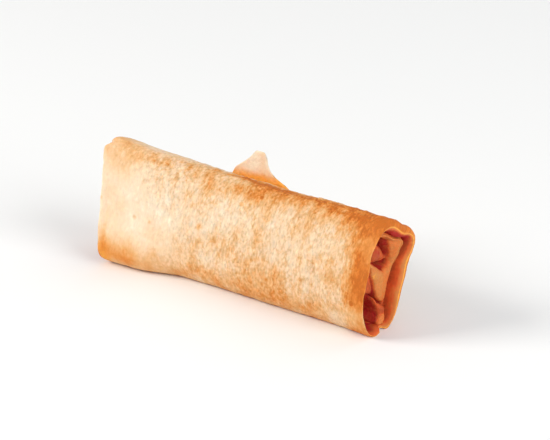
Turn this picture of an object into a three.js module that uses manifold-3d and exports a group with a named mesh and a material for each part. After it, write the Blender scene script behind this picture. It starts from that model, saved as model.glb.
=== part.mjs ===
// A fried spring roll: one sheet of thin pastry, rolled up, pressed oval and fried standing on its seam.
// Both ends are left as open mouths: a thick rolled rim, and inside it the tucked-in inner turn of the
// pastry, pinched at half height into an upper and a lower pocket. The last corner of the sheet has come
// loose and stands up behind the top; its two cut edges run down the back as one V-shaped seam.
// Units are millimetres, +Z up. +X runs along the roll, and -Y is the broad front face.

import * as THREE from "three";
import Module from "manifold-3d";

const wasm = await Module();
wasm.setup();

// ---------------------------------------------------------------- driving dimensions

const LENGTH = 107.5;
const HALF = LENGTH / 2;

// Each of these is given at [the left end, the middle, the right end] and blended along the roll.
const HEIGHT = [43.2, 35.7, 36.5];
const WIDTH = [24.7, 25.4, 24.0];
const BASE_CENTRE = [4.2, 5.9, 4.6];
const LEAN = [0.5, 8.9, 9.9]; // how far the top stands behind the base
const TOP_TILT = [26.9, 25.7, 38.4]; // degrees that the top face tips down towards the back
const BASE_SHARE = [0.96, 0.82, 0.68]; // width of the base as a share of the full width
const BLEND_POWER = 1.9;

// Heights inside the roll are shares of its height. A pair is a span over which a form sets in.
const SQUARENESS = 3; // exponent of the rounded cross-section: 2 is an ellipse
const TOP_NARROWING = 0.1;
const FLATTENED = 0.9; // depth of the round base that is pressed flat by the roll's own weight
const LEAN_BOW = 0.75; // share of the lean that comes in as a bow, the rest as a straight slant
const TILT_POWER = 1.5;

const LEFT_CORNER_FLARE = 6.3; // the front corner of the base spreads forward at the left end
const LEFT_FLARE_ALONG = [0.4, 0.75]; // shares of half the length
const LEFT_FLARE_HEIGHTS = [0.5, 1]; // shares of the height, from the top down
const RIGHT_CORNER_FLARE = 1.1;
const RIGHT_FLARE_ALONG = [0.8, 1];
const RIGHT_FLARE_HEIGHTS = [0.17, 1];
const RIGHT_BACK_SWELL = 1.5; // the upper back corner swells at the right end
const RIGHT_SWELL_ALONG = [0.75, 1];
const RIGHT_SWELL_HEIGHTS = [0.5, 0.8];

const RIPPLE_HEIGHT = 0.35;
const RIPPLE_PITCH = 9.5;
const RIPPLE_SLANT = 0.6; // turns that a ripple leans over the roll's height
const RIPPLE_ALONG = [-10, 15];

const PASTRY = 0.8; // thickness of one fried layer

// The loose corner: a right-angled corner of the sheet with a blunt tip.
const TIP_X = -9.3;
const TIP_BLUNTNESS = 1.3;
const TIP_NECK = 1.3; // the right edge drops this much at once beside the tip
const TIP_NECK_WIDTH = 3;
const CORNER_HEIGHT = 18; // from the line where the sheet leaves the roll up to the tip
const CORNER_LEAN = 2; // degrees off the tangent of the back
const CORNER_CURL = 1.2; // how far the tip bends back
const LIFT_LINE = 0.085; // share of the girth from mid-back up to that line
const SEAM_DROP = 40; // girth from the tip down to where both cut edges reach the ends
const LAP_BLEND = 9; // the lap sinks into the roll's surface over this width
const LAP_ROOT = 0.2; // and ends this far under it
const LAP_PARTING = 2; // the corner parts from the roll over this height
const LAP_END_MARGIN = 1.6;

const STATIONS = 56; // points round the roll
const BODY_RINGS = 34;
const LAST_BODY_RING = 4.5; // its distance from either end
const LAP_COLUMNS = 42;
const LAP_ROWS = 8;

// The rolled rim of a mouth, as [inset from the outer surface, depth behind the end].
const RIM_PROFILE = [
  [0, 1.8],
  [0.22, 0.8],
  [0.7, 0.18],
  [1.5, 0],
  [2.6, 0.3],
  [3.2, 1.2],
];
const RIM_WALL = 3.4; // thickness of the rolled outer layers behind the rim
const FRONT_WALL_SHARE = 0.6; // thickness of the front wall as a share of the others'
const SLIT_EXTRA_DEPTH = 1.8; // the slit behind the inner turn's edge reaches this much deeper than the edge
const SLIT_OPENS = [0.75, 0.95]; // heights between which the slit widens to its gape at the top
const EDGE_ROUNDING = 0.3; // of the inner turn's edge
const TUCKED_WALL = 3 * PASTRY; // the tucked-in folds start this far inside the rolled wall
const FRONT_EDGE_BACK = 1.2; // the inner turn's edge lies this much deeper along the front
const PINCH_PULL = 2.6; // and the pinched fold pulls it this much forward
const LOW_FOLD_SIDE = [-0.1, 0.5]; // the low fold sets in towards the back
const LOW_FOLD_HEIGHTS = [0.7, 0.82]; // and downwards, in shares of the height from the top down
const FUNNEL_STEPS = [0.16, 0.34, 0.52, 0.7, 0.86];

// recess is how deep the edge of the inner turn lies, at its top and at its base. The slit between the inner
// turn and the rim gapes at the top. Inside, a pinched fold slants from the front wall down to the back wall,
// and a second, lower fold lies against the back of the base; the pockets are what the folds leave open.
const RIGHT_MOUTH = {
  side: 1,
  topReach: 2.3,
  topReachFrom: 0.55,
  recessTop: 1.6,
  recessBase: 5.4,
  slitTop: 1.6,
  slitSide: 0.4,
  pinchHeight: 0.42,
  pinchSlant: 0.15,
  pinchSpread: 0.11,
  pinchFront: 2.2,
  pinchBack: 6.0,
  pocketDepth: 13.5,
  lowFoldDepth: 6.5,
  crease: -0.45,
  wavePhase: 0.1,
};
const LEFT_MOUTH = {
  side: -1,
  topReach: -0.8,
  topReachFrom: 0.8,
  recessTop: 2.4,
  recessBase: 4.0,
  slitTop: 1.0,
  slitSide: 0.5,
  pinchHeight: 0.52,
  pinchSlant: -0.08,
  pinchSpread: 0.12,
  pinchFront: 3.4,
  pinchBack: 5.2,
  pocketDepth: 12,
  lowFoldDepth: 7.5,
  crease: 0.1,
  wavePhase: 0.6,
};
const RIM_WAVE = 0.35; // the rim is uneven by this much, in two waves round the mouth
const RIM_WAVES = [2, 5];
const SECOND_WAVE_SHARE = 0.6;

const PASTRY_COLOUR = 0xe3a663;

// ---------------------------------------------------------------- the roll's surface

const clamp01 = (value) => THREE.MathUtils.clamp(value, 0, 1);
const rise = (value, [from, to]) => THREE.MathUtils.smoothstep(value, from, to);
const wave = (turns) => Math.sin(2 * Math.PI * turns);

function along(x, [left, middle, right]) {
  const end = x < 0 ? left : right;
  return THREE.MathUtils.lerp(middle, end, Math.min(Math.abs(x) / HALF, 1) ** BLEND_POWER);
}

// How far the front face swells out in soft ripples, which run across its right half.
function ripple(x, w, k) {
  const onFront = clamp01(-w) * Math.sin(Math.PI * clamp01(k));
  return RIPPLE_HEIGHT * onFront * rise(x, RIPPLE_ALONG) * wave(x / RIPPLE_PITCH + RIPPLE_SLANT * k);
}

// A point of the roll, where w runs from -1 at the front to 1 at the back, and k from 0 at the base to 1 at
// the top. Points inside the outline are inside the roll.
function place(x, w, k) {
  const end = x / HALF;
  const baseNarrowing = (1 - along(x, BASE_SHARE)) * clamp01(1 - 2 * k) ** 2;
  const topNarrowing = TOP_NARROWING * clamp01(2 * k - 1) ** 2;
  const tilt = THREE.MathUtils.degToRad(along(x, TOP_TILT)) * k ** TILT_POWER;
  const reach = ((w * along(x, WIDTH)) / 2) * (1 - baseNarrowing - topNarrowing);
  const centre = along(x, BASE_CENTRE) + along(x, LEAN) * THREE.MathUtils.lerp(k, k * k, LEAN_BOW);
  const leftFlare = LEFT_CORNER_FLARE * rise(-end, LEFT_FLARE_ALONG) * rise(1 - k, LEFT_FLARE_HEIGHTS);
  const rightFlare = RIGHT_CORNER_FLARE * rise(end, RIGHT_FLARE_ALONG) * rise(1 - k, RIGHT_FLARE_HEIGHTS);
  const flare = (leftFlare + rightFlare) * clamp01(-w);
  const onBack = rise(end, RIGHT_SWELL_ALONG) * clamp01(w) * rise(k, RIGHT_SWELL_HEIGHTS);
  const swell = RIGHT_BACK_SWELL * onBack;
  const y = centre + reach * Math.cos(tilt) - flare + swell - ripple(x, w, k);
  const z = (along(x, HEIGHT) + FLATTENED) * k - reach * Math.sin(tilt) - FLATTENED;
  return new THREE.Vector3(x, y, Math.max(z, 0));
}

// A lookup of even stations round the outline: a share of the girth gives w and k. Share 0 is the middle
// of the back, 0.25 the top, 0.5 the middle of the front and 0.75 the base.
const OUTLINE_STEPS = 1440;
const power = (value) => Math.sign(value) * Math.abs(value) ** (2 / SQUARENESS);
const outline = Array.from({ length: OUTLINE_STEPS + 1 }, (_, i) => {
  const angle = (2 * Math.PI * i) / OUTLINE_STEPS;
  return { w: power(Math.cos(angle)), k: (power(Math.sin(angle)) + 1) / 2, share: 0 };
});
for (let i = 1; i <= OUTLINE_STEPS; i += 1) {
  const across = ((outline[i].w - outline[i - 1].w) * WIDTH[1]) / 2;
  const up = (outline[i].k - outline[i - 1].k) * HEIGHT[1];
  outline[i].share = outline[i - 1].share + Math.hypot(across, up);
}
const GIRTH = outline[OUTLINE_STEPS].share;
for (const point of outline) {
  point.share /= GIRTH;
}

function station(share) {
  const wanted = share - Math.floor(share);
  const above = Math.max(outline.findIndex((point) => point.share >= wanted), 1);
  const from = outline[above - 1];
  const to = outline[above];
  const part = (wanted - from.share) / (to.share - from.share);
  return {
    w: THREE.MathUtils.lerp(from.w, to.w, part),
    k: THREE.MathUtils.lerp(from.k, to.k, part),
  };
}

// ---------------------------------------------------------------- the roll with its two mouths

const ringShares = Array.from({ length: STATIONS }, (_, i) => i / STATIONS);

function insetStation({ w, k }, x, inset) {
  const wall = THREE.MathUtils.lerp(1, FRONT_WALL_SHARE, rise(-w, [0, 1]));
  const sideways = 1 - (2 * inset * wall) / along(x, WIDTH);
  const upright = 1 - (2 * inset) / (along(x, HEIGHT) + FLATTENED);
  return { w: w * sideways, k: 0.5 + (k - 0.5) * upright };
}

// A point of a mouth, at a depth behind its end.
function mouthPoint(mouth, { w, k }, depth) {
  const reach = mouth.topReach * rise(k, [mouth.topReachFrom, 1]);
  return place(mouth.side * (HALF - depth + reach), w, k);
}

// How deep the tucked-in pastry lies at one place of the mouth.
function tuckDepth(mouth, { w, k }) {
  const pinch = Math.exp(-(((k - mouth.pinchHeight + mouth.pinchSlant * w) / mouth.pinchSpread) ** 2));
  const pinchDepth = THREE.MathUtils.lerp(mouth.pinchFront, mouth.pinchBack, (1 + w) / 2);
  const lowFold = rise(w, LOW_FOLD_SIDE) * rise(1 - k, LOW_FOLD_HEIGHTS);
  const pocket = THREE.MathUtils.lerp(mouth.pocketDepth, mouth.lowFoldDepth, lowFold);
  return { pinch, depth: THREE.MathUtils.lerp(pocket, pinchDepth, pinch) };
}

// From the outside of the rim to the crease that closes the pockets.
function mouthRings(mouth) {
  const stations = ringShares.map((share) => {
    const at = station(share);
    const firstWave = wave(RIM_WAVES[0] * share + mouth.wavePhase);
    const secondWave = wave(RIM_WAVES[1] * share + 2 * mouth.wavePhase);
    const uneven = RIM_WAVE * (1 - firstWave - SECOND_WAVE_SHARE * secondWave);
    const slit = THREE.MathUtils.lerp(mouth.slitSide, mouth.slitTop, rise(at.k, SLIT_OPENS));
    const atFront = (FRONT_EDGE_BACK - PINCH_PULL * tuckDepth(mouth, at).pinch) * clamp01(-at.w);
    const recess = THREE.MathUtils.lerp(mouth.recessBase, mouth.recessTop, at.k) + atFront;
    return { at, uneven, recess, turn: RIM_WALL + slit };
  });
  const endX = mouth.side * HALF;
  const ring = (profile) =>
    stations.map((one) => {
      const [inset, depth] = profile(one);
      return mouthPoint(mouth, insetStation(one.at, endX, inset), depth + one.uneven);
    });
  const lipInset = ({ turn }) => turn + PASTRY;
  const rings = RIM_PROFILE.map((row) => ring(() => row));
  rings.push(
    ring(({ recess }) => [RIM_WALL, recess + SLIT_EXTRA_DEPTH]),
    ring(({ recess, turn }) => [turn, recess + SLIT_EXTRA_DEPTH]),
    ring(({ recess, turn }) => [turn, recess + EDGE_ROUNDING]),
    ring(({ recess, turn }) => [turn + PASTRY / 2, recess]),
    ring((one) => [lipInset(one), one.recess + EDGE_ROUNDING]),
  );
  for (const step of [...FUNNEL_STEPS, 1]) {
    rings.push(
      stations.map((one) => {
        const lip = insetStation(one.at, endX, lipInset(one));
        const inner = insetStation(one.at, endX, RIM_WALL + TUCKED_WALL);
        const here = {
          w: THREE.MathUtils.lerp(lip.w, mouth.crease, step),
          k: THREE.MathUtils.lerp(lip.k, inner.k, step),
        };
        const sunk = 1 - (1 - step) ** 3;
        const lipDepth = one.recess + EDGE_ROUNDING;
        const depth = THREE.MathUtils.lerp(lipDepth, tuckDepth(mouth, here).depth, sunk);
        return mouthPoint(mouth, here, depth + one.uneven * (1 - step));
      }),
    );
  }
  return rings;
}

// Rings joined into one closed skin. The first and the last ring are folded flat, front on back, so each
// pair of their facing stations shares one vertex.
function rollSolid() {
  const bodyRings = Array.from({ length: BODY_RINGS }, (_, i) => {
    const x = THREE.MathUtils.lerp(LAST_BODY_RING - HALF, HALF - LAST_BODY_RING, i / (BODY_RINGS - 1));
    return ringShares.map((share) => {
      const { w, k } = station(share);
      return place(x, w, k);
    });
  });
  const rings = [...mouthRings(LEFT_MOUTH).reverse(), ...bodyRings, ...mouthRings(RIGHT_MOUTH)];
  const positions = rings.flat().flatMap((point) => point.toArray());
  const last = rings.length - 1;
  const vertex = (ring, i) => {
    const at = i % STATIONS;
    const facing = (STATIONS / 2 - at + STATIONS) % STATIONS;
    const shared = ring === 0 || ring === last ? Math.min(at, facing) : at;
    return ring * STATIONS + shared;
  };
  const triangles = [];
  for (let ring = 0; ring < last; ring += 1) {
    for (let i = 0; i < STATIONS; i += 1) {
      const corners = [vertex(ring, i), vertex(ring, i + 1), vertex(ring + 1, i + 1), vertex(ring + 1, i)];
      triangles.push([corners[0], corners[1], corners[2]], [corners[0], corners[2], corners[3]]);
    }
  }
  return solid(positions, triangles);
}

function solid(positions, triangles) {
  const closed = triangles.filter(([a, b, c]) => a !== b && b !== c && a !== c);
  const mesh = new wasm.Mesh({
    numProp: 3,
    vertProperties: new Float32Array(positions),
    triVerts: new Uint32Array(closed.flat()),
  });
  return new wasm.Manifold(mesh);
}

// ---------------------------------------------------------------- the lap and its loose corner

// How far the cut edge lies below the tip: a right angle at the tip, flattening towards the roll's ends.
function seamDrop(x) {
  const span = x < TIP_X ? TIP_X + HALF : HALF - TIP_X;
  const away = Math.hypot(x - TIP_X, TIP_BLUNTNESS) - TIP_BLUNTNESS;
  const neck = TIP_NECK * rise(x - TIP_X, [0, TIP_NECK_WIDTH]);
  return neck + (SEAM_DROP - neck) * (1 - clamp01(1 - away / span) ** (span / SEAM_DROP));
}

const TANGENT_STEP = 0.01; // share of the girth to either side, from which the roll's slope is taken

// A point of the outermost layer: drop is the distance below the tip, offset the height over the roll.
function lapPoint(x, drop, offset) {
  const shareAt = (below) => LIFT_LINE - (below - CORNER_HEIGHT) / GIRTH;
  const onRoll = (share) => {
    const { w, k } = station(share);
    return place(x, w, k);
  };
  const share = shareAt(Math.max(drop, CORNER_HEIGHT));
  const foot = onRoll(share);
  const tangent = onRoll(share + TANGENT_STEP).sub(onRoll(share - TANGENT_STEP)).normalize();
  const outward = new THREE.Vector3(1, 0, 0).cross(tangent).negate();
  const free = Math.max(CORNER_HEIGHT - drop, 0);
  const lean = THREE.MathUtils.degToRad(CORNER_LEAN);
  foot.addScaledVector(tangent, free * Math.cos(lean));
  foot.addScaledVector(outward, free * Math.sin(lean) + CORNER_CURL * (free / CORNER_HEIGHT) ** 2 + offset);
  return foot;
}

function lapSolid() {
  const positions = [];
  const triangles = [];
  const rows = LAP_ROWS + 1;
  for (let column = 0; column <= LAP_COLUMNS; column += 1) {
    const t = column / LAP_COLUMNS;
    const x = THREE.MathUtils.lerp(LAP_END_MARGIN - HALF, HALF - LAP_END_MARGIN, t);
    const edge = seamDrop(x);
    const attached = Math.max(edge, CORNER_HEIGHT);
    for (let row = 0; row <= LAP_ROWS; row += 1) {
      const drop = THREE.MathUtils.lerp(edge, attached + LAP_BLEND, row / LAP_ROWS);
      const sunk = rise(drop - attached, [0, LAP_BLEND]);
      const free = rise(attached - drop, [0, LAP_PARTING]);
      const outer = THREE.MathUtils.lerp(PASTRY, -LAP_ROOT, sunk);
      const inner = THREE.MathUtils.lerp(-PASTRY, 0, free);
      positions.push(...lapPoint(x, drop, outer).toArray(), ...lapPoint(x, drop, inner).toArray());
    }
  }
  const vertex = (column, row, face) => 2 * (column * rows + row) + face;
  const quad = (a, b, c, d) => triangles.push([a, b, c], [a, c, d]);
  for (let column = 0; column < LAP_COLUMNS; column += 1) {
    for (let row = 0; row < LAP_ROWS; row += 1) {
      quad(
        vertex(column, row, 0),
        vertex(column + 1, row, 0),
        vertex(column + 1, row + 1, 0),
        vertex(column, row + 1, 0),
      );
      quad(
        vertex(column, row, 1),
        vertex(column, row + 1, 1),
        vertex(column + 1, row + 1, 1),
        vertex(column + 1, row, 1),
      );
    }
    quad(vertex(column, 0, 1), vertex(column + 1, 0, 1), vertex(column + 1, 0, 0), vertex(column, 0, 0));
    quad(
      vertex(column, LAP_ROWS, 0),
      vertex(column + 1, LAP_ROWS, 0),
      vertex(column + 1, LAP_ROWS, 1),
      vertex(column, LAP_ROWS, 1),
    );
  }
  for (let row = 0; row < LAP_ROWS; row += 1) {
    quad(vertex(0, row, 0), vertex(0, row + 1, 0), vertex(0, row + 1, 1), vertex(0, row, 1));
    quad(
      vertex(LAP_COLUMNS, row, 1),
      vertex(LAP_COLUMNS, row + 1, 1),
      vertex(LAP_COLUMNS, row + 1, 0),
      vertex(LAP_COLUMNS, row, 0),
    );
  }
  return solid(positions, triangles);
}

// ---------------------------------------------------------------- the finished part

const { vertProperties, triVerts } = rollSolid().add(lapSolid()).getMesh();
const geometry = new THREE.BufferGeometry();
geometry.setAttribute("position", new THREE.BufferAttribute(vertProperties, 3));
geometry.setIndex(new THREE.BufferAttribute(triVerts, 1));
geometry.computeVertexNormals();

// The origin is the middle of the base.
geometry.computeBoundingBox();
const middle = geometry.boundingBox.getCenter(new THREE.Vector3());
geometry.translate(-middle.x, -middle.y, -geometry.boundingBox.min.z);

const pastry = new THREE.MeshStandardMaterial({ color: PASTRY_COLOUR, roughness: 0.6, metalness: 0 });
const springRoll = new THREE.Mesh(geometry, pastry);
springRoll.name = "spring_roll";

const group = new THREE.Group();
group.add(springRoll);

export default group;
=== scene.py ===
# %% [markdown]
# # A fried spring roll
# One sheet of thin wheat pastry, rolled up and deep-fried until it blisters. It stands on the narrow side
# that its own weight pressed flat. Both ends are open mouths: a thick rolled rim, and inside it the inner
# turn, tucked in. The last corner of the sheet came loose in the oil and stands up behind the top.
#
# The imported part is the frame. Its one solid stays in the simulation for collision, and the finished pastry
# made below stands for it, with the same forms from the same named sizes, only finer.

# %% The part's frame
import math

import bpy
import numpy as np
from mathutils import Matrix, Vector


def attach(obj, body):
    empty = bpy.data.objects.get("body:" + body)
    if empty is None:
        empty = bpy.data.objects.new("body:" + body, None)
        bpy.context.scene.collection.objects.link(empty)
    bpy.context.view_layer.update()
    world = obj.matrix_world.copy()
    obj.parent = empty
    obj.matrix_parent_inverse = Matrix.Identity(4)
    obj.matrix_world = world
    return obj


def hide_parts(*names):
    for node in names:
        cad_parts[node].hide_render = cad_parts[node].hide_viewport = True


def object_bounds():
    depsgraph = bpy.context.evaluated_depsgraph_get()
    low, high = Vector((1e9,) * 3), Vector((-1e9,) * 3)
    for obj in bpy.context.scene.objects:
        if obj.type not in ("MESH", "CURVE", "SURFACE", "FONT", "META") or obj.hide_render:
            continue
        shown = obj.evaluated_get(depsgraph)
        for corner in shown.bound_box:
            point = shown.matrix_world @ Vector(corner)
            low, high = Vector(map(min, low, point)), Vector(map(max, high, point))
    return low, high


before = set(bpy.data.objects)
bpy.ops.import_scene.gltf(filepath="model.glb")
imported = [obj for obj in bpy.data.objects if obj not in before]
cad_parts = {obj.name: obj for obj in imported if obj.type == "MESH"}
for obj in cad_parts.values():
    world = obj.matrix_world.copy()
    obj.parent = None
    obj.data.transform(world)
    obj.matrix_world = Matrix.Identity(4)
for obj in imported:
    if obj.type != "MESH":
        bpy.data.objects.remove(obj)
cad_low, cad_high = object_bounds()
MM = 0.001
print("CAD box in mm:", [round(side / MM, 2) for side in cad_high - cad_low])

# The part's source centres its solid, whose middle lay here before that, and the pastry moves as far.
SOLID_MIDDLE = (0.936, 7.538, 0)
cad_middle = (np.array(cad_low) + np.array(cad_high)) / 2 / MM
shift = cad_middle * (1, 1, 0) - SOLID_MIDDLE
print("shift in mm:", shift.round(3))

# %% [markdown]
# ## The form of the roll
# A rolled and pressed sheet has a section that is neither a circle nor a box, but a rounded rectangle that
# leans back, narrows towards its base and tips its top down behind. It could be modelled by pushing a
# cylinder into shape, or by lofting a few drawn sections. Here a point is placed by a rule instead: x runs
# along the roll, w goes from -1 at the front to 1 at the back, and k from 0 at the base to 1 at the top.
# Every layer, rim and fold below then fits the others, because all of them ask the same rule.

# %% Sizes of the roll, in mm
LENGTH = 107.5
HALF = LENGTH / 2
# Each of these is given at the left end, the middle and the right end. LEAN is how far the top lies behind
# the base, TOP_TILT how many degrees it tips down behind, and BASE_SHARE how much of WIDTH the base keeps.
HEIGHT = (43.2, 35.7, 36.5)
WIDTH = (24.7, 25.4, 24.0)
BASE_CENTRE = (4.2, 5.9, 4.6)
LEAN = (0.5, 8.9, 9.9)
TOP_TILT = (26.9, 25.7, 38.4)
BASE_SHARE = (0.96, 0.82, 0.68)
# A higher power keeps the sizes of the middle for longer towards the ends.
BLEND_POWER = 1.9
# With 2 the section is an ellipse, and with more it is squarer.
SQUARENESS = 3
# The share of its width that the top loses, and how much of the base the floor has pressed flat.
TOP_NARROWING = 0.1
FLATTENED = 0.9
# The foot of the front stands out at both ends, and the top of the back at the right end.
LEFT_FLARE = 6.3
RIGHT_FLARE = 1.1
RIGHT_SWELL = 1.5
# Low waves on the front, where the sheet shrank in the oil.
RIPPLE_HEIGHT = 0.35
RIPPLE_PITCH = 9.5
RIPPLE_SLANT = 0.6


# %% A point of the roll
def rise(value, low, high):
    """0 below low, 1 above high, and a smooth slope between."""
    t = np.clip((value - low) / (high - low), 0, 1)
    return t * t * (3 - 2 * t)


def fade(distance, reach):
    """1 at no distance, and softly down to 0 at about twice the reach."""
    return np.exp(-((distance / reach) ** 2))


def along(x, ends):
    """A size that is given at the left end, the middle and the right end, at x."""
    left, middle, right = ends
    share = np.minimum(np.abs(x) / HALF, 1) ** BLEND_POWER
    return middle + (np.where(x < 0, left, right) - middle) * share


def place(x, w, k):
    """The point of the roll at x, w and k, in mm."""
    onward = x / HALF
    in_front = np.clip(-w, 0, 1)
    base_narrowing = (1 - along(x, BASE_SHARE)) * np.clip(1 - 2 * k, 0, 1) ** 2
    top_narrowing = TOP_NARROWING * np.clip(2 * k - 1, 0, 1) ** 2
    tilt = np.radians(along(x, TOP_TILT)) * np.maximum(k, 0) ** 1.5
    reach = w * along(x, WIDTH) / 2 * (1 - base_narrowing - top_narrowing)
    centre = along(x, BASE_CENTRE) + along(x, LEAN) * (0.25 * k + 0.75 * k * k)
    left_flare = LEFT_FLARE * rise(-onward, 0.4, 0.75) * rise(1 - k, 0.5, 1)
    right_flare = RIGHT_FLARE * rise(onward, 0.8, 1) * rise(1 - k, 0.17, 1)
    flare = (left_flare + right_flare) * in_front
    swell = RIGHT_SWELL * rise(onward, 0.75, 1) * np.clip(w, 0, 1) * rise(k, 0.5, 0.8)
    ripple = np.sin(2 * np.pi * (x / RIPPLE_PITCH + RIPPLE_SLANT * k)) * rise(x, -10, 15)
    ripple = RIPPLE_HEIGHT * in_front * np.sin(np.pi * np.clip(k, 0, 1)) * ripple
    y = centre + reach * np.cos(tilt) - flare + swell - ripple
    z = (along(x, HEIGHT) + FLATTENED) * k - reach * np.sin(tilt) - FLATTENED
    return np.stack([x + 0 * y, y, np.maximum(z, 0)], axis=-1)


# %% Even stations round the section
# A share of the girth gives w and k: 0 is the middle of the back, 0.25 the top, 0.5 the front and 0.75 the
# base.
OUTLINE_STEPS = 1440
turn_angles = np.linspace(0, 2 * np.pi, OUTLINE_STEPS + 1)
outline_w = np.sign(np.cos(turn_angles)) * np.abs(np.cos(turn_angles)) ** (2 / SQUARENESS)
outline_k = (np.sign(np.sin(turn_angles)) * np.abs(np.sin(turn_angles)) ** (2 / SQUARENESS) + 1) / 2
outline_share = np.hypot(np.diff(outline_w) * WIDTH[1] / 2, np.diff(outline_k) * HEIGHT[1])
outline_share = np.concatenate([[0], np.cumsum(outline_share)])
GIRTH = outline_share[-1]
outline_share /= GIRTH


def station(share):
    """The w and k at a share of the girth."""
    share = share % 1
    return np.interp(share, outline_share, outline_w), np.interp(share, outline_share, outline_k)


print("girth in mm:", round(GIRTH, 1))

# %% [markdown]
# ## The mouths
# At each end the outer layers roll in to a thick, soft rim. A slit parts that rim from the edge of the
# inner turn, and inside it the tucked-in pastry is pinched into folds with pockets above and below. A mouth
# could be cut out with a boolean, but cut edges look cut. So the rings of the loft go on round the rim and
# down inside, as the sheet itself does, and the tucked pastry is a second loft that sits in the hollow.

# %% Sizes of the rims, in mm
# The rim's profile as inset from the outside and depth behind the end.
RIM_PROFILE = ((0, 2.4), (0.15, 1.1), (0.6, 0.25), (1.4, 0), (2.5, 0.4), (3.2, 1.4))
RIM_WALL = 3.4
PASTRY = 0.8
TUCKED_SHEET = 0.6
# Thickness of the wall against RIM_WALL: at the front, the back, the top and the base.
WALL_SHARES = (0.42, 1.05, 1.3, 0.7)
SQUARED_CORNERS = 0.1
# Of a mouth, side is its end of the roll. Its top stands out by top_reach, from the k of top_reach_from up.
# The tucked pastry closes at the w of crease, with pockets of pocket_depth. The rest is given round the
# mouth, at shares of the girth: edge is how far the rim dips in, recess how far the edge of the inner turn
# lies behind it, and slit how wide the gap between the two is.
RIGHT_MOUTH = dict(
    side=1,
    top_reach=2.3,
    top_reach_from=0.55,
    crease=-0.45,
    pocket_depth=12.5,
    edge=(
        (0, -0.2), (0.1, 0), (0.16, -0.3), (0.2, -0.1), (0.29, 0.2), (0.34, 0.1), (0.37, 0.5), (0.4, 0.6),
        (0.425, 1), (0.47, 0.5), (0.51, 0.6), (0.54, 1), (0.58, 0.8), (0.63, 0.3), (0.7, -0.3),
        (0.735, 0), (0.758, 1.2), (0.778, 1), (0.792, 0.1), (0.806, -0.2), (0.86, -0.4), (0.94, 0),
    ),
    recess=(
        (0, 4.2), (0.1, 3), (0.2, 1.8), (0.3, 1.8), (0.42, 4), (0.5, 7), (0.63, 7), (0.72, 6.5),
        (0.765, 2.2), (0.8, 1.8), (0.83, 3), (0.86, 5.2), (0.92, 4.8),
    ),
    slit=(
        (0, 0.7), (0.12, 0.9), (0.18, 0.95), (0.27, 1), (0.36, 0.7), (0.42, 0.5), (0.6, 0.5),
        (0.78, 0.1), (0.88, 0.3),
    ),
)
LEFT_MOUTH = dict(
    side=-1,
    top_reach=-0.8,
    top_reach_from=0.8,
    crease=0.1,
    pocket_depth=12,
    edge=(
        (0, 0.5), (0.14, 0.4), (0.24, 0.1), (0.3, -0.5), (0.315, -0.2), (0.326, 1.3), (0.338, 0.5),
        (0.352, -0.4), (0.375, 0.2), (0.4, 0.9), (0.45, 1), (0.5, 0.4), (0.55, 0.5), (0.6, 1.1),
        (0.66, 1.1), (0.7, 0.8), (0.9, 0.3),
    ),
    recess=((0, 6), (0.15, 4.5), (0.25, 2.6), (0.36, 2.8), (0.5, 4.6), (0.6, 7), (0.7, 4), (0.85, 7.5)),
    slit=(
        (0, 0.2), (0.1, 0.7), (0.2, 1), (0.3, 0.8), (0.38, 0.2), (0.5, 0.15), (0.6, 0.6), (0.72, 0.5),
        (0.8, 0.15), (0.9, 0.1),
    ),
)

# %% A point of a mouth
# At the corners of the section, w and 2 k - 1 multiply to this.
CORNER = 0.63


def round_mouth(knots, share):
    """A size that passes smoothly through its knots all the way round the mouth."""
    (first, first_size), (last, last_size) = knots[0], knots[-1]
    places, sizes = np.array([(last - 1, last_size), *knots, (first + 1, first_size)]).T
    before = np.clip(np.searchsorted(places, share, side="right") - 1, 0, len(places) - 2)
    onward = rise(share, places[before], places[before + 1])
    return sizes[before] + (sizes[before + 1] - sizes[before]) * onward


def inset_station(w, k, x, inset):
    """The station moved inwards by an inset in mm, which the walls take up in their own shares."""
    front, back, top, base = WALL_SHARES
    corner = 1 + SQUARED_CORNERS * rise(inset, 0, RIM_WALL) * (w * (2 * k - 1) / CORNER) ** 2
    sideways = 1 - 2 * inset * (front + (back - front) * rise(w, -1, 1)) / along(x, WIDTH)
    upright = 1 - 2 * inset * (base + (top - base) * rise(k, 0, 1)) / (along(x, HEIGHT) + FLATTENED)
    return w * sideways * corner, 0.5 + (k - 0.5) * upright * corner


def mouth_point(mouth, w, k, depth):
    """The point at w and k that lies at a depth in mm behind the end."""
    reach = mouth["top_reach"] * rise(k, mouth["top_reach_from"], 1) * rise(w, -1.2, -0.1)
    return place(mouth["side"] * (HALF - depth + reach), w, k)


# %% [markdown]
# ## The folds in a mouth
# The tucked pastry was pressed in by a finger. It lies in a few flat folds that overlap, each with an
# outline and a slope of its own. They could be sculpted, but then no size could be changed later. So a fold
# is a polygon across the mouth with a depth at each corner. Beyond its sides the pastry falls away, and of
# all the folds the foremost one shows.

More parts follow.
